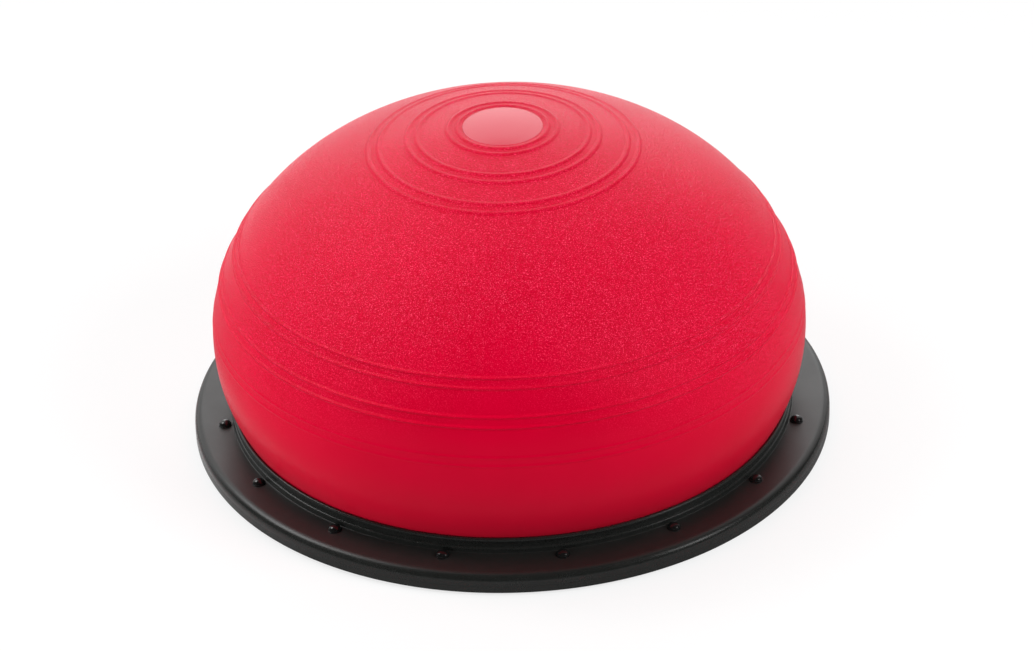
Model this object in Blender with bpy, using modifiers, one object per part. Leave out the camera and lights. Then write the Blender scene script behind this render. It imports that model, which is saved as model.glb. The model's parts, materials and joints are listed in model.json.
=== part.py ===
# Trampoline balance ball: a hollow ribbed ball clamped to a round platform.
# Metres, +Z up. The origin is the centre of the circle that its foot pads stand on.
import math

import bmesh
import bpy
from mathutils import Matrix

# Clearances, wherever two pieces meet or nearly meet
GAP = 0.0003
NECK_GAP = 0.0006

# Steps in which the round pieces are turned, and what counts as a sharp edge on them
STEPS_LARGE = 48
STEPS_DISC = 32
STEPS_VALVE = 32
STEPS_PAD = 24
STEPS_RIVET = 12
MERGE_DISTANCE = 0.00001
SHARP_ANGLE = 35

# Foot pads
PAD_COUNT = 8
PAD_RADIUS = 0.018
PAD_INSET = 0.055
PAD_PROUD = 0.002
PAD_POCKET_DEPTH = 0.0015
PAD_EDGE = 0.0007

# Platform
BASE_THICKNESS = 0.006
BASE_LIP = 0.0004
BASE_EDGE_TOP = 0.0004
BASE_EDGE_BOTTOM = 0.001

# Ball: a superellipse over the equator, and below it a foot that the collar draws in.
# It is modelled in two pieces, parted over the collar: the dome that gives way when
# someone stands on it, and the foot that the ring and the platform hold still.
BALL_RADIUS = 0.2394
BALL_EQUATOR_ABOVE_BASE = 0.0809
BALL_CROWN_RISE = 0.1771
BALL_CROWN_POWER = 1.955
BALL_FOOT_DRAW = 0.0125
BALL_FOOT_DRAW_DEPTH = 0.0569
BALL_FOOT_POWER = 2.2
BALL_WALL = 0.0040
BALL_CROWN_WALL = 0.0035
BALL_FLOOR = 0.0025
BALL_PARTING_ABOVE_COLLAR = 0.0017
BEAD_HEIGHT = 0.0054
BEAD_TO_RIVET = 0.0013

# Fine raised rings in pairs, as angles from the ball's pole seen from its equator's centre
CROWN_RIB_PAIRS = ((11.45, 13.9), (21.8, 24.4), (31.4, 34.1))
CROWN_RIB_WIDTH = 0.0056
CROWN_RIB_HEIGHT = 0.0009
BELLY_RIB_PAIRS = ((70.2, 72.1), (77.3, 79.2), (84.9, 86.6))
BELLY_RIB_WIDTH = 0.0044
BELLY_RIB_HEIGHT = 0.0008

# Where the ball's outline has its points, and the room that plain ones leave at a rib
PLAIN_STEP = 7.5
RIB_ROOM = 3.0
INSIDE_ANGLES = (75, 60, 46, 33, 21, 10)
BELLY_SHARES = (0.22, 0.44, 0.64, 0.83, 1.0)
FOOT_SHARES = (0.0, 0.5, 1.0)

# Crown disc
DISC_RADIUS = 0.0322
DISC_RIM_THICKNESS = 0.0009
DISC_EDGE = 0.0004
DISC_TOP_SHARES = (0.35, 0.7)

# Clamp ring
BAND_WIDTH = 0.0304
RING_HEIGHT = 0.0092
RING_EDGE = 0.0068
COLLAR_WALL = 0.0029
COLLAR_HEIGHT = 0.0128
COLLAR_FOOT = 0.0007
COLLAR_LIP_HEIGHT = 0.0028
COLLAR_LIP_EDGE = 0.0008
COLLAR_GROOVE_DEPTH = 0.0009
COLLAR_GROOVE_HEIGHT = 0.0050

# Rivets
RIVET_COUNT = 16
RIVET_HEAD_RADIUS = 0.0055
RIVET_HEAD_HEIGHT = 0.0042
RIVET_TO_COLLAR = 0.0004
RIVET_SHANK_RADIUS = 0.0022
RIVET_TAIL_OVERHANG = 0.0016
RIVET_TAIL_THICKNESS = 0.0012
RIVET_TAIL_SINK = 0.0005

# Valve bush in the ball's floor
VALVE_BORE_RADIUS = 0.0043
VALVE_NECK_WALL = 0.0046
VALVE_FLANGE_WIDTH = 0.0051
VALVE_FLANGE_THICKNESS = 0.0025

# Stopper, sunk into the platform's underside
PLUG_SINK = 0.0005
PLUG_TAB_INSET = 0.0040
PLUG_TAB_WIDTH = 0.0028
PLUG_TAB_HEIGHT = 0.0014
PLUG_HEAD_OVERHANG = 0.0031
PLUG_HEAD_THICKNESS = 0.0014
PLUG_FINGER_GAP = 0.0026
PLUG_TIP = 0.0014
PLUG_TIP_BELOW_FLANGE = 0.0011

# Angles, in degrees, of the points on the rounded edges and on a rivet's head
RING_EDGE_ANGLES = (90, 60, 30, 0)
BASE_EDGE_ANGLES = (90, 45, 0)
RIVET_HEAD_ANGLES = (60, 30, 0)

MODEL_NAME = "trampoline_balance_ball"

# Heights, from the floor upwards
BASE_BOTTOM = PAD_PROUD
BASE_TOP = BASE_BOTTOM + BASE_THICKNESS
PART_SEAT = BASE_TOP + GAP
BAND_TOP = PART_SEAT + RING_HEIGHT
COLLAR_TOP = BAND_TOP + COLLAR_HEIGHT
COLLAR_NECK_TOP = COLLAR_TOP - COLLAR_LIP_EDGE
PARTING = COLLAR_TOP + BALL_PARTING_ABOVE_COLLAR
BEAD_TOP = PART_SEAT + BEAD_HEIGHT
FLOOR_TOP = PART_SEAT + BALL_FLOOR
EQUATOR = BASE_TOP + BALL_EQUATOR_ABOVE_BASE
BALL_TOP = EQUATOR + BALL_CROWN_RISE


def crown_height(radius):
    """Height of the ball's upper surface at a radius from the axis."""
    share = 1 - (radius / BALL_RADIUS) ** BALL_CROWN_POWER
    return EQUATOR + BALL_CROWN_RISE * share ** (1 / BALL_CROWN_POWER)


def foot_radius(height):
    """Radius of the ball below its equator, where the collar draws it in."""
    share = (EQUATOR - height) / BALL_FOOT_DRAW_DEPTH
    return BALL_RADIUS - BALL_FOOT_DRAW * share**BALL_FOOT_POWER


# The crown disc's seat, and the ball's inside
DISC_RIM_TOP = crown_height(DISC_RADIUS)
DISC_BOTTOM = DISC_RIM_TOP - DISC_RIM_THICKNESS
DISC_SEAT_RADIUS = DISC_RADIUS + GAP
DISC_SEAT_HEIGHT = DISC_BOTTOM - GAP
INSIDE_RADIUS = BALL_RADIUS - BALL_WALL
INSIDE_RISE = DISC_SEAT_HEIGHT - BALL_CROWN_WALL - EQUATOR

# Radii, from the ball's neck outwards to the platform's lip
COLLAR_RADIUS = foot_radius(COLLAR_NECK_TOP) + NECK_GAP + COLLAR_WALL
RIVET_CIRCLE_RADIUS = COLLAR_RADIUS + COLLAR_FOOT + RIVET_TO_COLLAR + RIVET_HEAD_RADIUS
RIVET_HOLE_RADIUS = RIVET_SHANK_RADIUS + GAP
BEAD_RADIUS = RIVET_CIRCLE_RADIUS - RIVET_SHANK_RADIUS - BEAD_TO_RIVET
RING_RADIUS = COLLAR_RADIUS + BAND_WIDTH
BASE_RADIUS = RING_RADIUS + BASE_LIP
PAD_CIRCLE_RADIUS = BASE_RADIUS - PAD_INSET

# A rivet's tail in its recess
TAIL_RADIUS = RIVET_SHANK_RADIUS + RIVET_TAIL_OVERHANG
TAIL_BOTTOM = BASE_BOTTOM + RIVET_TAIL_SINK
TAIL_TOP = TAIL_BOTTOM + RIVET_TAIL_THICKNESS

# The valve, outwards and upwards
VALVE_NECK_RADIUS = VALVE_BORE_RADIUS + VALVE_NECK_WALL
NECK_HOLE_RADIUS = VALVE_NECK_RADIUS + GAP
FLANGE_RADIUS = VALVE_NECK_RADIUS + VALVE_FLANGE_WIDTH
FLANGE_BOTTOM = FLOOR_TOP + GAP
FLANGE_TOP = FLANGE_BOTTOM + VALVE_FLANGE_THICKNESS
PLUG_HEAD_RADIUS = VALVE_NECK_RADIUS + PLUG_HEAD_OVERHANG
PLUG_TAB_BOTTOM = BASE_BOTTOM + PLUG_SINK
PLUG_HEAD_BOTTOM = PLUG_TAB_BOTTOM + PLUG_TAB_HEIGHT
PLUG_HEAD_TOP = PLUG_HEAD_BOTTOM + PLUG_HEAD_THICKNESS
PLUG_STEM_RADIUS = VALVE_BORE_RADIUS - GAP
PLUG_STEM_TOP = FLANGE_TOP - PLUG_TIP_BELOW_FLANGE
RECESS_RADIUS = PLUG_HEAD_RADIUS + PLUG_FINGER_GAP
RECESS_TOP = PLUG_HEAD_TOP + GAP


def clear_scene():
    for obj in list(bpy.data.objects):
        bpy.data.objects.remove(obj, do_unlink=True)


def new_collection(name):
    collection = bpy.data.collections.new(name)
    bpy.context.scene.collection.children.link(collection)
    return collection


def new_material(name, colour, roughness):
    material = bpy.data.materials.new(name)
    material.use_nodes = True
    shader = material.node_tree.nodes["Principled BSDF"]
    shader.inputs["Base Color"].default_value = (*colour, 1.0)
    shader.inputs["Roughness"].default_value = roughness
    shader.inputs["Metallic"].default_value = 0.0
    material.diffuse_color = (*colour, 1.0)
    return material


def new_object(name, mesh, collection):
    obj = bpy.data.objects.new(name, mesh)
    collection.objects.link(obj)
    return obj


def arc(centre_radius, centre_height, across, upward, angles):
    """Points on a quarter of an ellipse, at angles in degrees from the horizontal."""
    points = []
    for angle in angles:
        turn = math.radians(angle)
        radius = centre_radius + across * math.cos(turn)
        points.append((radius, centre_height + upward * math.sin(turn)))
    return points


def turned(name, profile, collection, material, steps):
    """A solid turned about Z from (radius, height) points that run down its outer side."""
    on_axis = profile[0][0] == 0 and profile[-1][0] == 0
    edges = [(i, i + 1) for i in range(len(profile) - 1)]
    if not on_axis:
        edges.append((len(profile) - 1, 0))
    outline = bpy.data.meshes.new(name + "_outline")
    outline.from_pydata([(radius, 0.0, height) for radius, height in profile], edges, [])
    obj = new_object(name, outline, collection)
    screw = obj.modifiers.new("turn", "SCREW")
    screw.steps = steps
    screw.render_steps = steps
    screw.use_merge_vertices = True
    screw.merge_threshold = MERGE_DISTANCE
    evaluated = obj.evaluated_get(bpy.context.evaluated_depsgraph_get())
    mesh = bpy.data.meshes.new_from_object(evaluated)
    mesh.name = name
    obj.modifiers.clear()
    obj.data = mesh
    bpy.data.meshes.remove(outline)
    mesh.shade_smooth()
    mesh.set_sharp_from_angle(angle=math.radians(SHARP_ANGLE))
    mesh.materials.append(material)
    return obj


def cylinders(name, places, radius, low, high, steps):
    """Upright cylinders at the given (x, y) places in one mesh, for cutting holes."""
    mesh = bpy.data.meshes.new(name)
    bm = bmesh.new()
    for x, y in places:
        bmesh.ops.create_cone(
            bm,
            cap_ends=True,
            segments=steps,
            radius1=radius,
            radius2=radius,
            depth=high - low,
            matrix=Matrix.Translation((x, y, (low + high) / 2)),
        )
    bm.to_mesh(mesh)
    bm.free()
    return mesh


def combine(obj, operation, name, mesh, cutters):
    """Cut a mesh out of an object, or join it on, with a Boolean modifier."""
    cutter = new_object(name, mesh, cutters)
    cutter.hide_render = True
    cutter.display_type = "WIRE"
    modifier = obj.modifiers.new(name, "BOOLEAN")
    modifier.operation = operation
    modifier.object = cutter


def round_the_axis(count, radius):
    """Places at even angles, starting half a step to the right of the front."""
    step = 2 * math.pi / count
    angles = [-math.pi / 2 + step * (index + 0.5) for index in range(count)]
    return [(radius * math.cos(angle), radius * math.sin(angle)) for angle in angles]


def copies(first, name, places, collection):
    """Copies of a piece that share its mesh, so that one stands at each place."""
    objects = [first]
    digits = len(str(len(places)))
    for number in range(2, len(places) + 1):
        objects.append(new_object(f"{name}_{number:0{digits}d}", first.data, collection))
    for obj, (x, y) in zip(objects, places, strict=True):
        obj.location = (x, y, 0.0)
    return objects


def crown_point(angle, proud=0.0, across=BALL_RADIUS, upward=BALL_CROWN_RISE):
    """(radius, height) on the ball's crown at an angle in degrees from its pole."""
    sine = math.sin(math.radians(angle))
    cosine = math.cos(math.radians(angle))
    power = BALL_CROWN_POWER
    reach = ((sine / across) ** power + (cosine / upward) ** power) ** (-1 / power)
    return (reach + proud) * sine, EQUATOR + (reach + proud) * cosine


def rib_points(angle, width, height):
    """A raised ring on the crown: its foot, its crest and its other foot."""
    radius, level = crown_point(angle)
    half_width = math.degrees(width / 2 / math.hypot(radius, level - EQUATOR))
    crest = crown_point(angle, height)
    return [crown_point(angle - half_width), crest, crown_point(angle + half_width)]


def crown_profile():
    """The ball's crown, from the disc's seat down to just over the equator."""
    ribs = {}
    for pair in CROWN_RIB_PAIRS:
        for angle in pair:
            ribs[angle] = rib_points(angle, CROWN_RIB_WIDTH, CROWN_RIB_HEIGHT)
    for pair in BELLY_RIB_PAIRS:
        for angle in pair:
            ribs[angle] = rib_points(angle, BELLY_RIB_WIDTH, BELLY_RIB_HEIGHT)
    stations = list(ribs.items())
    angle = PLAIN_STEP
    while angle < max(ribs):
        if angle > min(ribs) and all(abs(angle - rib) > RIB_ROOM for rib in ribs):
            stations.append((angle, [crown_point(angle)]))
        angle += PLAIN_STEP
    points = [(DISC_SEAT_RADIUS, crown_height(DISC_SEAT_RADIUS))]
    for _, group in sorted(stations):
        points += group
    return points


def between(top, bottom, shares):
    """Heights from one down to another, at the given shares of the way."""
    return [top + (bottom - top) * share for share in shares]


def make_ball_shell(parts, material):
    belly = between(EQUATOR, PARTING + GAP, BELLY_SHARES)
    profile = [(0.0, DISC_SEAT_HEIGHT), (DISC_SEAT_RADIUS, DISC_SEAT_HEIGHT)]
    profile += crown_profile()
    profile.append((BALL_RADIUS, EQUATOR))
    profile += [(foot_radius(height), height) for height in belly]
    profile += [(foot_radius(height) - BALL_WALL, height) for height in reversed(belly)]
    profile.append((INSIDE_RADIUS, EQUATOR))
    for angle in INSIDE_ANGLES:
        profile.append(crown_point(angle, across=INSIDE_RADIUS, upward=INSIDE_RISE))
    profile.append((0.0, EQUATOR + INSIDE_RISE))
    turned("ball_shell", profile, parts, material, STEPS_LARGE)


def make_ball_foot(parts, material):
    outside = between(PARTING, BEAD_TOP, FOOT_SHARES)
    profile = [(foot_radius(height), height) for height in outside]
    profile += [(BEAD_RADIUS, BEAD_TOP), (BEAD_RADIUS, PART_SEAT)]
    profile += [(NECK_HOLE_RADIUS, PART_SEAT), (NECK_HOLE_RADIUS, FLOOR_TOP)]
    inside = between(FLOOR_TOP, PARTING, FOOT_SHARES)
    profile += [(foot_radius(height) - BALL_WALL, height) for height in inside]
    turned("ball_foot", profile, parts, material, STEPS_LARGE)


def make_crown_disc(parts, material):
    profile = [(0.0, BALL_TOP)]
    for share in DISC_TOP_SHARES:
        profile.append((DISC_RADIUS * share, crown_height(DISC_RADIUS * share)))
    profile.append((DISC_RADIUS - DISC_EDGE, DISC_RIM_TOP))
    profile.append((DISC_RADIUS, DISC_RIM_TOP - DISC_EDGE))
    profile += [(DISC_RADIUS, DISC_BOTTOM), (0.0, DISC_BOTTOM)]
    turned("crown_disc", profile, parts, material, STEPS_DISC)


def make_clamp_ring(parts, cutters, material):
    groove_top = COLLAR_TOP - COLLAR_LIP_HEIGHT
    groove_bottom = groove_top - COLLAR_GROOVE_HEIGHT
    groove_radius = COLLAR_RADIUS - COLLAR_GROOVE_DEPTH
    profile = [(COLLAR_RADIUS - COLLAR_LIP_EDGE, COLLAR_TOP)]
    profile += [(COLLAR_RADIUS, COLLAR_NECK_TOP), (COLLAR_RADIUS, groove_top + COLLAR_LIP_EDGE)]
    profile += [(groove_radius, groove_top), (groove_radius, groove_bottom)]
    profile.append((COLLAR_RADIUS, groove_bottom - COLLAR_LIP_EDGE))
    profile.append((COLLAR_RADIUS, BAND_TOP + COLLAR_FOOT))
    profile.append((COLLAR_RADIUS + COLLAR_FOOT, BAND_TOP))
    edge_radius = RING_RADIUS - RING_EDGE
    edge_height = BAND_TOP - RING_EDGE
    profile += arc(edge_radius, edge_height, RING_EDGE, RING_EDGE, RING_EDGE_ANGLES)
    profile.append((RING_RADIUS, PART_SEAT))
    rebate_radius = BEAD_RADIUS + GAP
    rebate_height = BEAD_TOP + GAP
    profile += [(rebate_radius, PART_SEAT), (rebate_radius, rebate_height)]
    for height in between(rebate_height, COLLAR_NECK_TOP, FOOT_SHARES):
        profile.append((foot_radius(height) + NECK_GAP, height))
    mouth_radius = foot_radius(COLLAR_NECK_TOP) + NECK_GAP + COLLAR_LIP_EDGE
    profile.append((mouth_radius, COLLAR_TOP))
    ring = turned("clamp_ring", profile, parts, material, STEPS_LARGE)
    places = round_the_axis(RIVET_COUNT, RIVET_CIRCLE_RADIUS)
    above = BAND_TOP + RIVET_HEAD_HEIGHT
    holes = cylinders("ring_holes", places, RIVET_HOLE_RADIUS, BASE_TOP, above, STEPS_RIVET)
    combine(ring, "DIFFERENCE", "ring_holes", holes, cutters)


def make_base_plate(parts, cutters, material):
    edge_radius = BASE_RADIUS - BASE_EDGE_TOP
    edge_height = BASE_TOP - BASE_EDGE_TOP
    profile = arc(edge_radius, edge_height, BASE_EDGE_TOP, BASE_EDGE_TOP, BASE_EDGE_ANGLES)
    profile.append((BASE_RADIUS, BASE_BOTTOM + BASE_EDGE_BOTTOM))
    profile.append((BASE_RADIUS - BASE_EDGE_BOTTOM, BASE_BOTTOM))
    profile += [(RECESS_RADIUS, BASE_BOTTOM), (RECESS_RADIUS, RECESS_TOP)]
    profile += [(NECK_HOLE_RADIUS, RECESS_TOP), (NECK_HOLE_RADIUS, BASE_TOP)]
    plate = turned("base_plate", profile, parts, material, STEPS_LARGE)
    below = BASE_BOTTOM - BASE_THICKNESS
    above = BASE_TOP + BASE_THICKNESS
    rivets = round_the_axis(RIVET_COUNT, RIVET_CIRCLE_RADIUS)
    pads = round_the_axis(PAD_COUNT, PAD_CIRCLE_RADIUS)
    tail_hole = TAIL_RADIUS + GAP
    pad_hole = PAD_RADIUS + GAP
    pocket_top = BASE_BOTTOM + PAD_POCKET_DEPTH
    tail_hole_top = TAIL_TOP + GAP
    holes = cylinders("plate_holes", rivets, RIVET_HOLE_RADIUS, below, above, STEPS_RIVET)
    combine(plate, "DIFFERENCE", "plate_holes", holes, cutters)
    tails = cylinders("tail_recesses", rivets, tail_hole, below, tail_hole_top, STEPS_RIVET)
    combine(plate, "DIFFERENCE", "tail_recesses", tails, cutters)
    pockets = cylinders("pad_pockets", pads, pad_hole, below, pocket_top, STEPS_PAD)
    combine(plate, "DIFFERENCE", "pad_pockets", pockets, cutters)


def make_rivets(parts, material):
    head_bottom = BAND_TOP + GAP
    head_rise = RIVET_HEAD_HEIGHT - GAP
    profile = [(0.0, head_bottom + head_rise)]
    profile += arc(0.0, head_bottom, RIVET_HEAD_RADIUS, head_rise, RIVET_HEAD_ANGLES)
    profile += [(RIVET_SHANK_RADIUS, head_bottom), (RIVET_SHANK_RADIUS, TAIL_TOP)]
    profile += [(TAIL_RADIUS, TAIL_TOP), (TAIL_RADIUS, TAIL_BOTTOM), (0.0, TAIL_BOTTOM)]
    first = turned("rim_rivet_01", profile, parts, material, STEPS_RIVET)
    places = round_the_axis(RIVET_COUNT, RIVET_CIRCLE_RADIUS)
    copies(first, "rim_rivet", places, parts)


def make_foot_pads(parts, material):
    top = BASE_BOTTOM + PAD_POCKET_DEPTH - GAP
    profile = [(0.0, top), (PAD_RADIUS, top), (PAD_RADIUS, PAD_EDGE)]
    profile += [(PAD_RADIUS - PAD_EDGE, 0.0), (0.0, 0.0)]
    first = turned("foot_pad_1", profile, parts, material, STEPS_PAD)
    places = round_the_axis(PAD_COUNT, PAD_CIRCLE_RADIUS)
    copies(first, "foot_pad", places, parts)


def make_valve_bush(parts, material):
    bottom = RECESS_TOP + GAP
    profile = [(FLANGE_RADIUS, FLANGE_TOP), (FLANGE_RADIUS, FLANGE_BOTTOM)]
    profile += [(VALVE_NECK_RADIUS, FLANGE_BOTTOM), (VALVE_NECK_RADIUS, bottom)]
    profile += [(VALVE_BORE_RADIUS, bottom), (VALVE_BORE_RADIUS, FLANGE_TOP)]
    turned("valve_bush", profile, parts, material, STEPS_VALVE)


def make_valve_plug(parts, cutters, material):
    profile = [(0.0, PLUG_STEM_TOP), (PLUG_STEM_RADIUS - PLUG_TIP, PLUG_STEM_TOP)]
    profile.append((PLUG_STEM_RADIUS, PLUG_STEM_TOP - PLUG_TIP))
    profile += [(PLUG_STEM_RADIUS, PLUG_HEAD_TOP), (PLUG_HEAD_RADIUS, PLUG_HEAD_TOP)]
    profile += [(PLUG_HEAD_RADIUS, PLUG_HEAD_BOTTOM), (0.0, PLUG_HEAD_BOTTOM)]
    plug = turned("valve_plug", profile, parts, material, STEPS_VALVE)
    tab_top = (PLUG_HEAD_BOTTOM + PLUG_HEAD_TOP) / 2
    tab_height = tab_top - PLUG_TAB_BOTTOM
    tab_length = 2 * (PLUG_HEAD_RADIUS - PLUG_TAB_INSET)
    placed = Matrix.Translation((0.0, 0.0, tab_top - tab_height / 2))
    sized = Matrix.Diagonal((tab_length, PLUG_TAB_WIDTH, tab_height, 1.0))
    mesh = bpy.data.meshes.new("plug_tab")
    bm = bmesh.new()
    bmesh.ops.create_cube(bm, size=1.0, matrix=placed @ sized)
    bm.to_mesh(mesh)
    bm.free()
    combine(plug, "UNION", "plug_tab", mesh, cutters)


def main():
    clear_scene()
    parts = new_collection(MODEL_NAME)
    cutters = new_collection("cutters")
    red_vinyl = new_material("red_vinyl", (0.66, 0.006, 0.034), 0.45)
    red_gloss = new_material("red_gloss", (0.66, 0.010, 0.040), 0.22)
    black_plastic = new_material("black_plastic", (0.022, 0.022, 0.023), 0.35)
    black_gloss = new_material("black_gloss", (0.012, 0.012, 0.012), 0.15)
    black_rubber = new_material("black_rubber", (0.016, 0.016, 0.016), 0.8)
    white_plastic = new_material("white_plastic", (0.72, 0.72, 0.70), 0.4)
    make_base_plate(parts, cutters, black_plastic)
    make_foot_pads(parts, black_rubber)
    make_ball_shell(parts, red_vinyl)
    make_ball_foot(parts, red_vinyl)
    make_clamp_ring(parts, cutters, black_plastic)
    make_rivets(parts, black_gloss)
    make_valve_bush(parts, black_rubber)
    make_valve_plug(parts, cutters, white_plastic)
    make_crown_disc(parts, red_gloss)


main()
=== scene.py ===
# Trampoline balance ball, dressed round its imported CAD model. Metres, +Z up.
import json
import math

import bpy
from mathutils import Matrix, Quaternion, Vector


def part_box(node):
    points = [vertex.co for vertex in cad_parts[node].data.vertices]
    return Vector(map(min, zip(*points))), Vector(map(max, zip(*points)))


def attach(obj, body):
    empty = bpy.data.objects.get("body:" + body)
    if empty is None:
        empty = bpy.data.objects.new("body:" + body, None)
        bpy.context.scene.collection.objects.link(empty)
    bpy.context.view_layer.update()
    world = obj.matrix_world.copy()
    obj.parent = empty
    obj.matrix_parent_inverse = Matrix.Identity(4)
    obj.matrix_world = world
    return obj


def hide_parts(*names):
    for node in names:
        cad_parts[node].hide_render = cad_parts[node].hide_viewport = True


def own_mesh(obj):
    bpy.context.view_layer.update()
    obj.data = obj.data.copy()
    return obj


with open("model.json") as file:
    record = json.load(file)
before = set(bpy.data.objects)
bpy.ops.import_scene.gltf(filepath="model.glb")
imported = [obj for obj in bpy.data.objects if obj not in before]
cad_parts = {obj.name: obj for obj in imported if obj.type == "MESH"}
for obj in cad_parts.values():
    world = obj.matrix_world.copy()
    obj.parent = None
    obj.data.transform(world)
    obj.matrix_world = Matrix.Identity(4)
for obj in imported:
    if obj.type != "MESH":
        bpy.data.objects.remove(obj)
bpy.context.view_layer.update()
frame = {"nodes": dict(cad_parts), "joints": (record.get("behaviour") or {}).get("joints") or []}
print("frame loaded with", len(frame["nodes"]), "nodes")

mm = 0.001
degree = math.pi / 180
mergeDistance = 0.00001
supportShare = 0.12  # how far from a fillet its supporting points stand, in fillet radii


class Wire:  # one socket of a node tree; Python's operators turn it into Math nodes
    def __init__(self, graph, socket):
        self.graph = graph
        self.socket = socket

    def math(self, operation, *values):
        inputs = dict(enumerate(values))
        return self.graph.node("ShaderNodeMath", {"operation": operation}, inputs)[0]

    def __add__(self, other):
        return self.math("ADD", self, other)

    def __radd__(self, other):
        return self.math("ADD", other, self)

    def __sub__(self, other):
        return self.math("SUBTRACT", self, other)

    def __rsub__(self, other):
        return self.math("SUBTRACT", other, self)

    def __mul__(self, other):
        return self.math("MULTIPLY", self, other)

    def __rmul__(self, other):
        return self.math("MULTIPLY", other, self)

    def __truediv__(self, other):
        return self.math("DIVIDE", self, other)

    def __rtruediv__(self, other):
        return self.math("DIVIDE", other, self)

    def __pow__(self, other):
        return self.math("POWER", self, other)

    def __neg__(self):
        return self.math("MULTIPLY", self, -1)

    def __abs__(self):
        return self.math("ABSOLUTE", self)

    def __lt__(self, other):
        return self.math("LESS_THAN", self, other)

    def __gt__(self, other):
        return self.math("GREATER_THAN", self, other)

    def least(self, other):
        return self.math("MINIMUM", self, other)

    def most(self, other):
        return self.math("MAXIMUM", self, other)

    def cosine(self):
        return self.math("COSINE", self)

    def sine(self):
        return self.math("SINE", self)

    def held(self):  # held between 0 and 1
        return self.least(1.0).most(0.0)


class Made:  # a node that has been made; its outputs are read as wires
    def __init__(self, graph, node):
        self.graph = graph
        self.raw = node

    def __getitem__(self, name):
        return Wire(self.graph, self.raw.outputs[name])


class Graph:
    def __init__(self, tree):
        self.tree = tree

    # Any node: its settings first, then the values or wires of its inputs
    def node(self, kind, settings=None, inputs=None):
        node = self.tree.nodes.new(kind)
        for name, value in (settings or {}).items():
            setattr(node, name, value)
        for name, value in (inputs or {}).items():
            self.feed(node.inputs[name], value)
        return Made(self, node)

    def feed(self, socket, value):
        if isinstance(value, Wire):
            self.tree.links.new(value.socket, socket)
        else:
            socket.default_value = value

    def vector(self, operation, *values):
        inputs = dict(enumerate(values))
        made = self.node("ShaderNodeVectorMath", {"operation": operation}, inputs)
        return made["Value" if operation == "DOT_PRODUCT" else "Vector"]

    def split(self, vector):
        made = self.node("ShaderNodeSeparateXYZ", inputs={0: vector})
        return made["X"], made["Y"], made["Z"]

    def joined(self, x, y, z):
        return self.node("ShaderNodeCombineXYZ", inputs={0: x, 1: y, 2: z})[0]

    # Mixes two colours by a factor
    def mix(self, factor, first, second):
        inputs = {0: factor, 6: first, 7: second}
        return self.node("ShaderNodeMix", {"data_type": "RGBA"}, inputs)[2]


class Shape(Graph):  # a Geometry Nodes tree with named inputs
    def __init__(self, name):
        super().__init__(bpy.data.node_groups.new(name, "GeometryNodeTree"))
        self.tree.is_modifier = True
        self.inputs = {}
        face = self.tree.interface
        face.new_socket("Geometry", in_out="INPUT", socket_type="NodeSocketGeometry")
        face.new_socket("Geometry", in_out="OUTPUT", socket_type="NodeSocketGeometry")
        self.entry = self.tree.nodes.new("NodeGroupInput")
        self.exit = self.tree.nodes.new("NodeGroupOutput")

    def input(self, name, value):
        kind = "NodeSocketInt" if isinstance(value, int) else "NodeSocketFloat"
        kind = "NodeSocketMaterial" if isinstance(value, bpy.types.Material) else kind
        made = self.tree.interface.new_socket(name, in_out="INPUT", socket_type=kind)
        self.inputs[made.identifier] = value
        return Wire(self, self.entry.outputs[name])

    def outline(self):
        return Wire(self, self.entry.outputs["Geometry"])

    # Turns an outline, whose points run down the outer side, about Z
    def turned(self, outline, steps):
        size = self.node("GeometryNodeAttributeDomainSize", {"component": "MESH"}, {0: outline})
        rows = size["Point Count"]
        sheet = {"Size X": 1.0, "Size Y": 1.0, "Vertices X": rows, "Vertices Y": steps + 1}
        grid = self.node("GeometryNodeMeshGrid", inputs=sheet)["Mesh"]
        place = self.node("GeometryNodeInputPosition")["Position"]
        across, along, _ = self.split(place)
        nearest = {0: (across + 0.5) * (rows - 1)}
        row = self.node("FunctionNodeFloatToInt", inputs=nearest)[0]
        settings = {"data_type": "FLOAT_VECTOR", "domain": "POINT"}
        wanted = {"Geometry": outline, "Value": place, "Index": row}
        found = self.node("GeometryNodeSampleIndex", settings, wanted)["Value"]
        radius, _, height = self.split(found)
        turn = (along + 0.5) * (2 * math.pi)
        spot = self.joined(radius * turn.cosine(), radius * turn.sine(), height)
        moved = {"Geometry": grid, "Position": spot}
        return self.node("GeometryNodeSetPosition", inputs=moved)["Geometry"], row

    def welded(self, solid):
        inputs = {"Geometry": solid, "Distance": mergeDistance}
        return self.node("GeometryNodeMergeByDistance", inputs=inputs)["Geometry"]

    # Copies on a circle about Z, half a step round from +X
    def ringOf(self, solid, count, radius):
        sizes = {"Vertices": count, "Radius": radius}
        circle = self.node("GeometryNodeMeshCircle", inputs=sizes)["Mesh"]
        half = self.joined(0.0, 0.0, math.pi / count)
        turn = {"Geometry": circle, "Rotation": half}
        placed = self.node("GeometryNodeTransform", inputs=turn)["Geometry"]
        copies = {"Points": placed, "Instance": solid}
        return self.node("GeometryNodeInstanceOnPoints", inputs=copies)["Instances"]

    def finish(self, solid, material):
        real = self.node("GeometryNodeRealizeInstances", inputs={0: solid})["Geometry"]
        painted = {"Geometry": real, "Material": self.input("Material", material)}
        done = self.node("GeometryNodeSetMaterial", inputs=painted)["Geometry"]
        self.tree.links.new(done.socket, self.exit.inputs[0])


# A mesh of one line through (radius, height) points
def lineMesh(name, points):
    mesh = bpy.data.meshes.new(name)
    ends = [(place, place + 1) for place in range(len(points) - 1)]
    mesh.from_pydata([(radius, 0.0, height) for radius, height in points], ends, [])
    return mesh


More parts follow.
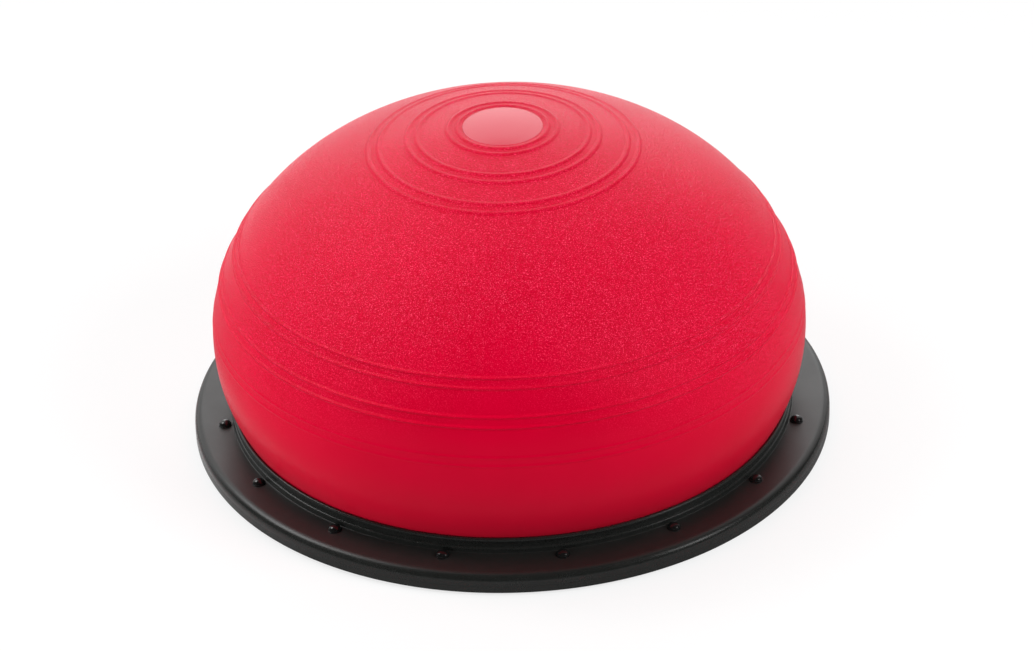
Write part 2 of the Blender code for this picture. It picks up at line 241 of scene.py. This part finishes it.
# Runs a tree on an outline, and keeps the result as a plain mesh
def builtPiece(name, points, shape, sharpAngle=40):
    piece = bpy.data.objects.new(name, lineMesh(name + "Outline", points))
    bpy.context.scene.collection.objects.link(piece)
    tree = piece.modifiers.new("shape", "NODES")
    tree.node_group = shape.tree
    for identifier, value in shape.inputs.items():
        tree[identifier] = value
    evaluated = piece.evaluated_get(bpy.context.evaluated_depsgraph_get())
    mesh = bpy.data.meshes.new_from_object(evaluated)
    piece.modifiers.clear()
    piece.data = mesh
    mesh.name = name
    mesh.shade_smooth()
    mesh.set_sharp_from_angle(angle=sharpAngle * degree)
    print(name, "has", len(mesh.polygons), "faces")
    return piece


# Rides a finished piece on its body, in place of its CAD nodes
def dress(piece, body, slot, *nodes):
    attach(piece, body)
    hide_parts(*nodes)


# A closed or open outline whose corners are (radius, height, fillet); a point beside
# each fillet keeps the flat next to it flat when it is shaded smooth
def filleted(corners, closed=True, bend=12):
    points = []
    count = len(corners)
    for place, (radius, height, fillet) in enumerate(corners):
        corner = Vector((radius, height))
        if fillet == 0 or (not closed and place in (0, count - 1)):
            points.append(tuple(corner))
            continue
        before = (Vector(corners[place - 1][:2]) - corner).normalized()
        after = (Vector(corners[(place + 1) % count][:2]) - corner).normalized()
        half = before.angle(after) / 2
        centre = corner + (before + after).normalized() * (fillet / math.sin(half))
        reach = fillet / math.tan(half)
        support = reach + fillet * supportShare
        start = corner + before * reach - centre
        end = corner + after * reach - centre
        steps = max(1, round((math.pi - 2 * half) / (bend * degree)))
        swing = start.angle_signed(end)
        points.append(tuple(corner + before * support))
        for step in range(steps + 1):
            turn = -swing * step / steps
            x = start.x * math.cos(turn) - start.y * math.sin(turn)
            y = start.x * math.sin(turn) + start.y * math.cos(turn)
            points.append((centre.x + x, centre.y + y))
        points.append(tuple(corner + after * support))
    return points + points[:1] if closed else points


def steadySteps(first, last, step):
    count = max(1, round(abs(last - first) / step))
    return [first + (last - first) * place / count for place in range(count + 1)]


# Materials

def newMaterial(name):
    material = bpy.data.materials.new(name)
    material.use_nodes = True
    graph = Graph(material.node_tree)
    shader = material.node_tree.nodes["Principled BSDF"]
    place = graph.node("ShaderNodeTexCoord")["Object"]
    return material, graph, shader, place


def noise(graph, place, size, detail=2.0, roughness=0.5):
    inputs = {"Vector": place, "Scale": 1 / size, "Detail": detail, "Roughness": roughness}
    return graph.node("ShaderNodeTexNoise", inputs=inputs)["Fac"]


def bump(graph, shader, height, distance):
    inputs = {"Height": height, "Distance": distance, "Strength": 1.0}
    graph.feed(shader.inputs["Normal"], graph.node("ShaderNodeBump", inputs=inputs)["Normal"])


redVinyl = {
    "colour": (0.88, 0.0, 0.046, 1),
    "deepColour": (0.60, 0.0, 0.018, 1),
    # the colour of painted glints, highlights on the tops of the grain
    "speckColour": (1.0, 0.075, 0.180, 1),
    # painted shade of the lower belly beside the ring, fading out upwards to the equator
    "footColour": (0.66, 0.012, 0.034, 1),
    "footTop": 89 * mm,
    "tone": 0.54,
    "tonePower": 1.5,
    "patchSize": 60 * mm,
    "patchContrast": 0.3,
    "grainSize": 0.82 * mm,
    "grainDepth": 0.6 * mm,
    "grainStart": 132 * mm,
    "grainFull": 212 * mm,
    "grainSideways": 0.35,  # each metre to a side starts the grain this much lower
    "grainPower": 1.5,
    "grainContrast": 2.9,
    "grainPolish": 0.7,  # the tops of the grain are less rough
    "speckStart": 0.55,
    "speckContrast": 5,
    "roughness": 0.31,
    "specular": 0.10,
}


def makeRedVinyl():
    material, graph, shader, place = newMaterial("redVinyl")
    grain = noise(graph, place, redVinyl["grainSize"], detail=1.0, roughness=0.6)
    patches = noise(graph, place, redVinyl["patchSize"])
    x, _, height = graph.split(place)
    # the grain starts lower down at the sides of the belly than at its front; its colour is partly
    # painted glints
    start = redVinyl["grainStart"]
    risen = height + abs(x) * redVinyl["grainSideways"] - start
    share = (risen / (redVinyl["grainFull"] - start)).held() ** redVinyl["grainPower"]
    fine = (grain - 0.5) * share
    broad = (patches - 0.5) * redVinyl["patchContrast"]
    # the grain's light and dark tone is partly real grain and partly painted glints where the light
    # catches it
    tone = fine * redVinyl["grainContrast"] + broad + redVinyl["tone"]
    tone = tone.held() ** redVinyl["tonePower"]
    colour = graph.mix(tone, redVinyl["deepColour"], redVinyl["colour"])
    # painted glints: the highest grain turns pale pink where the light catches it
    paintedGlints = ((grain - redVinyl["speckStart"]) * share * redVinyl["speckContrast"]).held()
    colour = graph.mix(paintedGlints, colour, redVinyl["speckColour"])
    # painted shade: the red darkens towards the bottom of the ball, where the ring shades its lower
    # belly
    low = (1 - height / redVinyl["footTop"]).held()
    colour = graph.mix(low, colour, redVinyl["footColour"])
    graph.feed(shader.inputs["Base Color"], colour)
    graph.feed(shader.inputs["Roughness"], redVinyl["roughness"] - fine * redVinyl["grainPolish"])
    shader.inputs["Specular IOR Level"].default_value = redVinyl["specular"]
    bump(graph, shader, grain * share, redVinyl["grainDepth"])
    return material


glossVinyl = {
    "colour": (0.64, 0.003, 0.034, 1),
    "roughness": 0.15,
    "waveRoughness": 0.1,
    "specular": 0.41,
    "waveSize": 14 * mm,
    "waveDepth": 0.02 * mm,
}


def makeGlossVinyl():
    material, graph, shader, place = newMaterial("glossVinyl")
    shader.inputs["Base Color"].default_value = glossVinyl["colour"]
    waves = noise(graph, place, glossVinyl["waveSize"])
    roughness = (waves - 0.5) * glossVinyl["waveRoughness"] + glossVinyl["roughness"]
    graph.feed(shader.inputs["Roughness"], roughness)
    shader.inputs["Specular IOR Level"].default_value = glossVinyl["specular"]
    bump(graph, shader, waves, glossVinyl["waveDepth"])
    return material


# The ring's flat band, and how far its collar stands over it
collarHeight = 12.8 * mm
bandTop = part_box("clamp_ring")[1].z - collarHeight

# Moulded plastic or rubber: a fine spark grain over long, shallow waves, and dust in two
# tones of the colour. The ring is more polished off its flat band than on it.
moulding = {
    "waveSize": 34 * mm,
    "waveRoughness": 0.12,
    "grainRoughness": 0.1,
    "dustSize": 9 * mm,
    "polishReach": 2 * mm,
}
mouldings = {
    "blackPlastic": {
        "colour": (0.010, 0.011, 0.010, 1),
        "paler": (0.019, 0.020, 0.019, 1),
        "roughness": 0.43,
        "polish": 0.16,
        "flat": bandTop,  # the height that isn't polished
        "grainSize": 0.7 * mm,
        "grainDepth": 0.012 * mm,
        "waveDepth": 0.06 * mm,
    },
    "blackGloss": {
        "colour": (0.006, 0.006, 0.006, 1),
        "paler": (0.010, 0.010, 0.010, 1),
        "roughness": 0.16,
        "grainSize": 0.6 * mm,
        "grainDepth": 0.002 * mm,
        "waveDepth": 0.004 * mm,
    },
    "blackRubber": {
        "colour": (0.014, 0.014, 0.014, 1),
        "paler": (0.022, 0.022, 0.022, 1),
        "roughness": 0.72,
        "grainSize": 0.8 * mm,
        "grainDepth": 0.04 * mm,
        "waveDepth": 0.05 * mm,
    },
    "whitePlastic": {
        "colour": (0.66, 0.66, 0.63, 1),
        "paler": (0.76, 0.76, 0.73, 1),
        "roughness": 0.42,
        "grainSize": 0.6 * mm,
        "grainDepth": 0.008 * mm,
        "waveDepth": 0.03 * mm,
    },
}


def makeMoulded(name, look):
    material, graph, shader, place = newMaterial(name)
    grain = noise(graph, place, look["grainSize"], detail=3.0)
    waves = noise(graph, place, moulding["waveSize"])
    dust = noise(graph, place, moulding["dustSize"], detail=6.0, roughness=0.7)
    graph.feed(shader.inputs["Base Color"], graph.mix(dust, look["colour"], look["paler"]))
    roughness = look["roughness"]
    if "polish" in look:
        _, _, height = graph.split(place)
        away = (abs(height - look["flat"]) / moulding["polishReach"]).held()
        roughness = roughness - away * look["polish"]
    roughness = roughness + (waves - 0.5) * moulding["waveRoughness"]
    roughness = roughness + (grain - 0.5) * moulding["grainRoughness"]
    graph.feed(shader.inputs["Roughness"], roughness)
    bump(graph, shader, grain * look["grainDepth"] + waves * look["waveDepth"], 1.0)
    return material


materials = {"redVinyl": makeRedVinyl(), "glossVinyl": makeGlossVinyl()}
for name, look in mouldings.items():
    materials[name] = makeMoulded(name, look)
print("materials made:", ", ".join(materials))

# The ball

seam = 0.3 * mm  # the gap that the CAD leaves under the disc and under the dome
discInset = 0.5 * mm
ball = {
    "radius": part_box("ball_shell")[1].x,
    "top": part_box("crown_disc")[1].z,
    "seatHeight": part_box("crown_disc")[0].z - seam,
    "seatRadius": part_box("crown_disc")[1].x - discInset,
    "parting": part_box("ball_shell")[0].z - seam,
    "equator": 88.9 * mm,
    "crownPower": 1.955,
    "footDraw": 12.5 * mm,
    "footDrawDepth": 56.9 * mm,
    "footPower": 2.2,
    "wall": 4 * mm,
    "crownWall": 3.5 * mm,
    "steps": 240,
    "coarseStep": 0.9,
    "lastAngle": 89.4,
    "bellyStep": 2.5 * mm,
    "innerAngles": (86, 4, 5),  # first, last and step
    # Pairs of raised rings, by their angles in degrees from the pole
    "ribs": {
        "Crown Rib": {
            "angles": (11.45, 13.9, 21.8, 24.4, 31.4, 34.1),
            "faint": (),
            "width": 5.6 * mm,
            "height": 0.9 * mm,
            "step": 0.115,
        },
        "Belly Rib": {
            "angles": (70.2, 72.1, 77.3, 79.2, 84.9, 86.6),
            "faint": (84.9, 86.6),
            "width": 3.6 * mm,
            "height": 1.15 * mm,
            "step": 0.085,
        },
    },
    "faintShare": 0.3,
}


# (radius, height) on the crown, at an angle in degrees from its pole
def crownPoint(angle, across, upward):
    sine = math.sin(angle * degree)
    cosine = math.cos(angle * degree)
    power = ball["crownPower"]
    reach = ((sine / across) ** power + (cosine / upward) ** power) ** (-1 / power)
    return reach * sine, ball["equator"] + reach * cosine


def crownAngle(radius, rise):
    share = 1 - (radius / ball["radius"]) ** ball["crownPower"]
    height = rise * share ** (1 / ball["crownPower"])
    return math.degrees(math.atan2(radius, height))


def footRadius(height):
    share = (ball["equator"] - height) / ball["footDrawDepth"]
    return ball["radius"] - ball["footDraw"] * share ** ball["footPower"]


# Angles down the crown: coarse steps, with fine ones across each raised ring
def domeAngles(rise):
    first = crownAngle(ball["seatRadius"], rise)
    angles = set(steadySteps(first, ball["lastAngle"], ball["coarseStep"]))
    pole = (0, ball["equator"])
    for ribs in ball["ribs"].values():
        step = ribs["step"]
        for rib in ribs["angles"]:
            away = math.dist(pole, crownPoint(rib, ball["radius"], rise))
            reach = math.degrees(ribs["width"] / 2 / away) + step
            near = steadySteps(rib - reach, rib + reach, step)
            angles = {angle for angle in angles if abs(angle - rib) > reach + step / 2}
            angles |= {angle for angle in near if angle > first}
    angles.add(first)
    return sorted(angles)


def makeDome():
    rise = ball["top"] - ball["equator"]
    outside = [crownPoint(angle, ball["radius"], rise) for angle in domeAngles(rise)]
    belly = steadySteps(ball["equator"], ball["parting"], ball["bellyStep"])
    outside += [(footRadius(height), height) for height in belly]
    inside = []
    for radius, height in reversed(outside[-len(belly):]):
        inside.append((radius - ball["wall"], height))
    innerRise = ball["seatHeight"] - ball["crownWall"] - ball["equator"]
    innerRadius = ball["radius"] - ball["wall"]
    for angle in steadySteps(*ball["innerAngles"]):
        inside.append(crownPoint(angle, innerRadius, innerRise))
    inside.append((0.0, ball["equator"] + innerRise))
    seat = [(0.0, ball["seatHeight"]), (ball["seatRadius"], ball["seatHeight"])]
    shape = Shape("domeShape")
    steps = shape.input("Steps", ball["steps"])
    sizes = []
    for name, ribs in ball["ribs"].items():
        height = shape.input(name + " Height", ribs["height"])
        width = shape.input(name + " Width", ribs["width"])
        sizes.append((ribs, height, width))
    outerRows = shape.input("Outer Rows", len(seat) + len(outside))
    equator = shape.input("Equator", ball["equator"])
    solid, row = shape.turned(shape.outline(), steps)
    x, y, z = shape.split(shape.node("GeometryNodeInputPosition")["Position"])
    level = (x * x + y * y) ** 0.5
    above = z - equator
    reach = (x * x + y * y + above * above) ** 0.5
    angle = level.math("ARCTAN2", level, above)
    proud = 0.0
    for ribs, height, width in sizes:
        for rib in ribs["angles"]:
            away = abs(angle - rib * degree) * reach / (width / 2)
            tall = height * ball["faintShare"] if rib in ribs["faint"] else height
            proud = proud + (1 - away.least(1.0) ** 2) ** 2 * tall
    # the rows are read from the grid, so the rings are raised before it is welded
    outer = (row < outerRows) * (row > len(seat) - 0.5)
    lift = proud * outer / reach
    offset = shape.joined(x * lift, y * lift, above * lift)
    ribbed = shape.node("GeometryNodeSetPosition", inputs={"Geometry": solid, "Offset": offset})
    shape.finish(shape.welded(ribbed["Geometry"]), materials["redVinyl"])
    dome = builtPiece("ballDome", seat + outside + inside, shape)
    dress(dome, "platform", "red_vinyl", "ball_shell")
    free = ball["seatHeight"] - ball["parting"]
    press = next(joint for joint in frame["joints"] if joint["name"] == "dome_press")
    keep = 1 - press["range_m"][1] / free
    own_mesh(dome)


foot = {
    "beadTop": 13.7 * mm,
    "beadEdge": 0.8 * mm,
    "neckHole": 9.2 * mm,
    "floor": 2.5 * mm,
    "floorEdge": 0.4 * mm,
    "outerStep": 3 * mm,
    "innerStep": 4 * mm,
}


def makeFoot():
    low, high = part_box("ball_foot")
    floorTop = low.z + foot["floor"]
    corners = [(footRadius(ball["parting"]), ball["parting"], 0)]
    for height in steadySteps(ball["parting"], foot["beadTop"], foot["outerStep"])[1:]:
        corners.append((footRadius(height), height, 0))
    corners += [
        (high.x, foot["beadTop"], foot["beadEdge"]),
        (high.x, low.z, foot["beadEdge"]),
        (foot["neckHole"], low.z, 0),
        (foot["neckHole"], floorTop, foot["floorEdge"]),
    ]
    for height in steadySteps(floorTop, ball["parting"], foot["innerStep"]):
        corners.append((footRadius(height) - ball["wall"], height, 0))
    shape = Shape("footShape")
    steps = shape.input("Steps", ball["steps"])
    solid, _ = shape.turned(shape.outline(), steps)
    shape.finish(shape.welded(solid), materials["redVinyl"])
    piece = builtPiece("ballFoot", filleted(corners), shape)
    dress(piece, "platform", "red_vinyl", "ball_foot")


makeDome()
makeFoot()

# The crown disc

disc = {
    "gap": 0.05 * mm,
    "edge": 0.3 * mm,
    "steps": 96,
    "rings": 9,
}


def makeDisc():
    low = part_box("crown_disc")[0].z
    radius = ball["seatRadius"] - disc["gap"]
    rise = ball["top"] - ball["equator"]
    top = []
    for place in range(disc["rings"] + 1):
        share = place / disc["rings"]
        angle = crownAngle((radius - disc["edge"]) * share, rise)
        top.append(crownPoint(angle, ball["radius"], rise))
    rim = top.pop()[1]
    corners = [(*top.pop(), 0), (radius, rim, disc["edge"]), (radius, low, 0), (0.0, low, 0)]
    shape = Shape("discShape")
    steps = shape.input("Steps", disc["steps"])
    solid, _ = shape.turned(shape.outline(), steps)
    shape.finish(shape.welded(solid), materials["glossVinyl"])
    piece = builtPiece("crownDisc", top + filleted(corners, closed=False), shape)
    dress(piece, "crown", "red_gloss_vinyl", "crown_disc")


makeDisc()

# The clamp ring

ring = {
    "skirtInset": 0.05 * mm,
    "skirtEdge": 0.04 * mm,
    "shoulder": 6.8 * mm,
    "collarRadius": 229.16 * mm,
    "collarFoot": 0.7 * mm,
    "collarEdge": 1.6 * mm,
    "mouthEdge": 0.7 * mm,
    "lipHeight": 2.8 * mm,
    "lipEdge": 0.7 * mm,
    "grooveDepth": 1.7 * mm,
    "grooveHeight": 5.0 * mm,
    "grooveTop": 0.25 * mm,
    "grooveBottom": 0.1 * mm,
    "grooveEdge": 1.35 * mm,
    "neckGap": 0.6 * mm,
    "neckEnd": 2 * mm,
    "neckStep": 3 * mm,
    "rebateRadius": 232.56 * mm,
    "rebateHeight": 5.7 * mm,
    "seatGap": 0.02 * mm,
    "steps": 288,
}


def makeRing():
    low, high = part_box("clamp_ring")
    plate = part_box("base_plate")[1]
    radius = plate.x - ring["skirtInset"]
    seat = plate.z + ring["seatGap"]
    collar = ring["collarRadius"]
    grooveTop = high.z - ring["lipHeight"]
    grooveBottom = grooveTop - ring["grooveHeight"]
    groove = collar - ring["grooveDepth"]
    rebate = low.z + ring["rebateHeight"]
    mouth = footRadius(high.z) + ring["neckGap"]
    corners = [
        (mouth, high.z, ring["mouthEdge"]),
        (collar, high.z, ring["collarEdge"]),
        (collar, grooveTop, ring["lipEdge"]),
        (groove, grooveTop, ring["grooveTop"]),
        (groove, grooveBottom, ring["grooveBottom"]),
        (collar, grooveBottom, ring["grooveEdge"]),
        (collar, bandTop, ring["collarFoot"]),
        (radius, bandTop, ring["shoulder"]),
        (radius, seat, ring["skirtEdge"]),
        (ring["rebateRadius"], seat, 0),
        (ring["rebateRadius"], rebate, 0),
    ]
    for height in steadySteps(rebate, high.z - ring["neckEnd"], ring["neckStep"]):
        corners.append((footRadius(height) + ring["neckGap"], height, 0))
    shape = Shape("ringShape")
    steps = shape.input("Steps", ring["steps"])
    solid, _ = shape.turned(shape.outline(), steps)
    shape.finish(shape.welded(solid), materials["blackPlastic"])
    piece = builtPiece("clampRing", filleted(corners), shape)
    dress(piece, "platform", "black_plastic", "clamp_ring")


makeRing()

# The rivets in the band

rivet = {
    "count": 16,
    "circle": 235.76 * mm,
    "seatGap": 0.05 * mm,
    "headRadius": 5.5 * mm,
    "headAngles": (82, 0, 8),  # first, last and step
    "rimWidth": 0.5 * mm,
    "rimHeight": 0.5 * mm,
    "rimEdge": 0.2 * mm,
    "shankRadius": 2.2 * mm,
    "tailRadius": 3.8 * mm,
    "tailThickness": 1.2 * mm,
    "tailEdge": 0.3 * mm,
    "bend": 22,
    "steps": 40,
}


def makeRivets():
    low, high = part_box("rim_rivet_01")
    seat = bandTop + rivet["seatGap"]
    rim = seat + rivet["rimHeight"]
    inner = rivet["headRadius"] - rivet["rimWidth"]
    tail = low.z + rivet["tailThickness"]
    points = [(0.0, high.z)]
    for angle in steadySteps(*rivet["headAngles"]):
        across = inner * math.cos(angle * degree)
        points.append((across, rim + (high.z - rim) * math.sin(angle * degree)))
    corners = [
        (inner, rim, 0),
        (rivet["headRadius"], rim, rivet["rimEdge"]),
        (rivet["headRadius"], seat, 0),
        (rivet["shankRadius"], seat, 0),
        (rivet["shankRadius"], tail, 0),
        (rivet["tailRadius"], tail, rivet["tailEdge"]),
        (rivet["tailRadius"], low.z, rivet["tailEdge"]),
        (0.0, low.z, 0),
    ]
    points += filleted(corners, closed=False, bend=rivet["bend"])[1:]
    shape = Shape("rivetShape")
    steps = shape.input("Steps", rivet["steps"])
    count = shape.input("Rivets", rivet["count"])
    circle = shape.input("Circle Radius", rivet["circle"])
    solid, _ = shape.turned(shape.outline(), steps)
    shape.finish(shape.ringOf(shape.welded(solid), count, circle), materials["blackGloss"])
    piece = builtPiece("rimRivets", points, shape)
    names = sorted(name for name in frame["nodes"] if name.startswith("rim_rivet"))
    dress(piece, "platform", "black_gloss_plastic", *names)


makeRivets()

# The platform and its pads

pad = {
    "count": 8,
    "circle": 204.96 * mm,
    "radius": 18 * mm,
    "topEdge": 0.3 * mm,
    "bottomEdge": 0.7 * mm,
    "grooves": (13 * mm, 9 * mm, 5 * mm),
    "grooveWidth": 1.4 * mm,
    "grooveDepth": 0.6 * mm,
    "grooveEdge": 0.2 * mm,
    "bend": 30,
    "steps": 72,
}
platform = {
    "edgeTop": 0.06 * mm,
    "edgeBottom": 1.0 * mm,
    "recessRadius": 14.6 * mm,
    "recessDepth": 3.6 * mm,
    "recessEdge": 0.5 * mm,
    "recessCorner": 0.3 * mm,
    "neckHole": foot["neckHole"],
    "pockets": {
        "Pad": {
            "count": pad["count"],
            "circle": pad["circle"],
            "radius": pad["radius"],
            "depth": 1.5 * mm,
            "sides": 64,
        },
        "Tail": {
            "count": rivet["count"],
            "circle": rivet["circle"],
            "radius": rivet["tailRadius"],
            "depth": 2.0 * mm,
            "sides": 32,
        },
    },
    "pocketGap": 0.3 * mm,
    "sharpAngle": 30,
    "steps": 288,
}


def makePlatform():
    low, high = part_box("base_plate")
    recess = low.z + platform["recessDepth"]
    corners = [
        (high.x, high.z, platform["edgeTop"]),
        (high.x, low.z, platform["edgeBottom"]),
        (platform["recessRadius"], low.z, platform["recessEdge"]),
        (platform["recessRadius"], recess, platform["recessCorner"]),
        (platform["neckHole"], recess, 0),
        (platform["neckHole"], high.z, 0),
    ]
    shape = Shape("platformShape")
    steps = shape.input("Steps", platform["steps"])
    solid, _ = shape.turned(shape.outline(), steps)
    plate = shape.welded(solid)
    for name, pocket in platform["pockets"].items():
        sizes = {
            "Vertices": pocket["sides"],
            "Radius": pocket["radius"] + platform["pocketGap"],
            "Depth": 2 * pocket["depth"],
        }
        drill = shape.node("GeometryNodeMeshCylinder", inputs=sizes)["Mesh"]
        lifted = {"Geometry": drill, "Offset": (0.0, 0.0, low.z)}
        drill = shape.node("GeometryNodeSetPosition", inputs=lifted)["Geometry"]
        howMany = shape.input(name + " Count", pocket["count"])
        where = shape.input(name + " Circle", pocket["circle"])
        drills = shape.ringOf(drill, howMany, where)
        real = shape.node("GeometryNodeRealizeInstances", inputs={0: drills})["Geometry"]
        settings = {"operation": "DIFFERENCE", "solver": "EXACT"}
        cut = {0: plate, 1: real}
        plate = shape.node("GeometryNodeMeshBoolean", settings, cut)["Mesh"]
    shape.finish(plate, materials["blackPlastic"])
    piece = builtPiece("basePlate", filleted(corners), shape, platform["sharpAngle"])
    dress(piece, "platform", "black_plastic", "base_plate")


def makePads():
    low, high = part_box("foot_pad_1")
    radius = pad["radius"]
    corners = [
        (0.0, high.z, 0),
        (radius, high.z, pad["topEdge"]),
        (radius, low.z, pad["bottomEdge"]),
    ]
    deep = low.z + pad["grooveDepth"]
    edge = pad["grooveEdge"]
    for middle in pad["grooves"]:
        outer = middle + pad["grooveWidth"] / 2
        inner = middle - pad["grooveWidth"] / 2
        corners += [(outer, low.z, edge), (outer, deep, edge)]
        corners += [(inner, deep, edge), (inner, low.z, edge)]
    corners.append((0.0, low.z, 0))
    shape = Shape("padShape")
    steps = shape.input("Steps", pad["steps"])
    count = shape.input("Pads", pad["count"])
    circle = shape.input("Circle Radius", pad["circle"])
    solid, _ = shape.turned(shape.outline(), steps)
    shape.finish(shape.ringOf(shape.welded(solid), count, circle), materials["blackRubber"])
    points = filleted(corners, closed=False, bend=pad["bend"])
    piece = builtPiece("footPads", points, shape)
    names = sorted(name for name in frame["nodes"] if name.startswith("foot_pad"))
    dress(piece, "platform", "black_rubber", *names)


makePlatform()
makePads()

# The valve keeps its CAD meshes

valve = {"valve_bush": "blackRubber", "valve_plug": "whitePlastic"}
for name, finish in valve.items():
    slots = frame["nodes"][name].data.materials
    slots.clear()
    slots.append(materials[finish])
print("valve painted")

# Floor, light and camera

studio = {
    "floorSize": 40.0,
    "floorTone": (0.42, 0.42, 0.42, 1),  # what gloss and bounced light see of the paper
    "floorRoughness": 0.9,
    # a painted pool of light on the paper beside the left of the ring, seen only by gloss
    "patchTone": (1.0, 1.0, 1.0, 1),
    "patchStart": 0.15,  # metres to the left of the middle
    "patchSlope": 10,
    "patchRadius": 0.27,
    "patchFade": 0.03,
    "floorGlow": 0.75,  # how much of the shadow the camera doesn't see
    "shadowReach": 0.6,  # past this radius the rest of it fades out too
    "backdropWay": (-0.17, 0.87, 0.46),
    "backdropStart": 0.42,
    "backdropFull": 0.90,
    "sensor": 36,
    "lens": 118.97,
    "camera": (0.1157, -2.3628, 1.5239),
    "aim": (0.0061, 0.0003, 0.0811),
    "roll": -1.904,
}
# Each lamp stands so many degrees round from the camera's side and up, and so far away.
# Its level is the share of plain light that a surface facing it gets.
lamps = {
    "backSoftbox": {"round": 180, "up": 20, "away": 3.0, "size": 2.4, "level": 0.315, "gloss": True},
    "leftSoftbox": {"round": -104, "up": 48, "away": 2.0, "size": 0.85, "level": 0.31, "gloss": True},
    "rightSoftbox": {"round": 66, "up": 30, "away": 2.0, "size": 0.5, "level": 0.08, "gloss": True},
    "leftFill": {"round": -66, "up": 28, "away": 2.2, "size": 1.2, "level": 0.33, "gloss": False},
    "rightFill": {"round": 66, "up": 36, "away": 2.2, "size": 1.2, "level": 0.64, "gloss": False},
    "frontLowFill": {"round": -34, "up": 5, "away": 2.2, "size": 0.3, "level": 0.24, "gloss": False},
    "leftLowFill": {"round": -98, "up": 5, "away": 2.2, "size": 0.3, "level": 0.12, "gloss": False},
    "rightLowFill": {"round": 100, "up": 5, "away": 2.2, "size": 0.3, "level": 0.14, "gloss": False},
}


# How much of the white backdrop lies in a direction: it stands behind the object
def backdropShare(graph, way):
    lean = graph.vector("DOT_PRODUCT", way, studio["backdropWay"])
    reach = studio["backdropFull"] - studio["backdropStart"]
    rise = ((lean - studio["backdropStart"]) / reach).held()
    return rise * rise * (3 - 2 * rise)


# 1 where a ray sees the white background: the camera's always, gloss and glass the backdrop
def seesWhite(graph, share):
    light = graph.node("ShaderNodeLightPath")
    mirrored = light["Is Glossy Ray"].most(light["Is Transmission Ray"])
    return light["Is Camera Ray"].most(mirrored * share)


# White paper, with the object's shadow thinned, and plain white past the shadow. Gloss
# sees a painted pool of light on it, a brighter patch beside the left of the ring.
def makeFloor():
    mesh = bpy.data.meshes.new("floor")
    half = studio["floorSize"] / 2
    corners = [(-half, -half, 0), (half, -half, 0), (half, half, 0), (-half, half, 0)]
    mesh.from_pydata(corners, [], [(0, 1, 2, 3)])
    floor = bpy.data.objects.new("floor", mesh)
    bpy.context.scene.collection.objects.link(floor)
    material, graph, shader, place = newMaterial("floorPaper")
    white = (1, 1, 1, 1)
    eye = graph.vector("SUBTRACT", place, (0.0, 0.0, ball["equator"]))
    seen = seesWhite(graph, backdropShare(graph, graph.vector("NORMALIZE", eye)))
    soft = graph.node("ShaderNodeLightPath")["Is Diffuse Ray"]
    x, y, _ = graph.split(place)
    radius = (x * x + y * y) ** 0.5
    # painted pool of light: brighter paper beside the left of the ring, for glossy rays only
    near = (1 - (radius - studio["patchRadius"]) / studio["patchFade"]).held()
    left = ((-x - studio["patchStart"]) * studio["patchSlope"]).held()
    patch = near * left * (1 - soft)
    tone = graph.mix(patch, studio["floorTone"], studio["patchTone"])
    graph.feed(shader.inputs["Base Color"], graph.mix(seen, tone, white))
    shader.inputs["Roughness"].default_value = studio["floorRoughness"]
    shader.inputs["Specular IOR Level"].default_value = 0.0
    far = (radius / studio["shadowReach"] - 1).held()
    share = studio["floorGlow"] + (1 - studio["floorGlow"]) * far
    glow = graph.node("ShaderNodeEmission", inputs={"Color": white})["Emission"]
    paper = Wire(graph, shader.outputs["BSDF"])
    blend = graph.node("ShaderNodeMixShader", inputs={0: seen * share, 1: paper, 2: glow})
    output = material.node_tree.nodes["Material Output"]
    graph.feed(output.inputs["Surface"], blend["Shader"])
    mesh.materials.append(material)


# A white backdrop behind and a dark studio in front; the camera sees white all round
def makeWorld():
    world = bpy.data.worlds.new("studioWorld")
    bpy.context.scene.world = world
    world.use_nodes = True
    graph = Graph(world.node_tree)
    background = world.node_tree.nodes["Background"]
    share = backdropShare(graph, graph.node("ShaderNodeTexCoord")["Generated"])
    seen = seesWhite(graph, share)
    graph.feed(background.inputs["Strength"], seen + (1 - seen) * share)
    background.inputs["Color"].default_value = (1, 1, 1, 1)


def makeLamp(name, place):
    turn = place["round"] * degree
    tilt = place["up"] * degree
    across = Vector((math.sin(turn), -math.cos(turn), 0)) * (place["away"] * math.cos(tilt))
    upward = Vector((0, 0, place["away"] * math.sin(tilt)))
    lamp = bpy.data.lights.new(name, "AREA")
    lamp.size = place["size"]
    lamp.energy = place["level"] * (math.pi * place["away"]) ** 2
    holder = bpy.data.objects.new(name, lamp)
    bpy.context.scene.collection.objects.link(holder)
    holder.location = Vector((0, 0, ball["equator"])) + across + upward
    holder.rotation_euler = (-across - upward).to_track_quat("-Z", "Y").to_euler()
    holder.visible_glossy = place["gloss"]


def makeCamera():
    lens = bpy.data.cameras.new("camera")
    lens.sensor_width = studio["sensor"]
    lens.lens = studio["lens"]
    camera = bpy.data.objects.new("camera", lens)
    bpy.context.scene.collection.objects.link(camera)
    camera.location = studio["camera"]
    look = (Vector(studio["aim"]) - Vector(studio["camera"])).to_track_quat("-Z", "Y")
    camera.rotation_mode = "QUATERNION"
    camera.rotation_quaternion = look @ Quaternion((0, 0, 1), studio["roll"] * degree)
    bpy.context.scene.camera = camera


makeFloor()
makeWorld()
for name, place in lamps.items():
    makeLamp(name, place)
makeCamera()
bpy.context.scene.view_settings.view_transform = "Standard"
print("studio made")
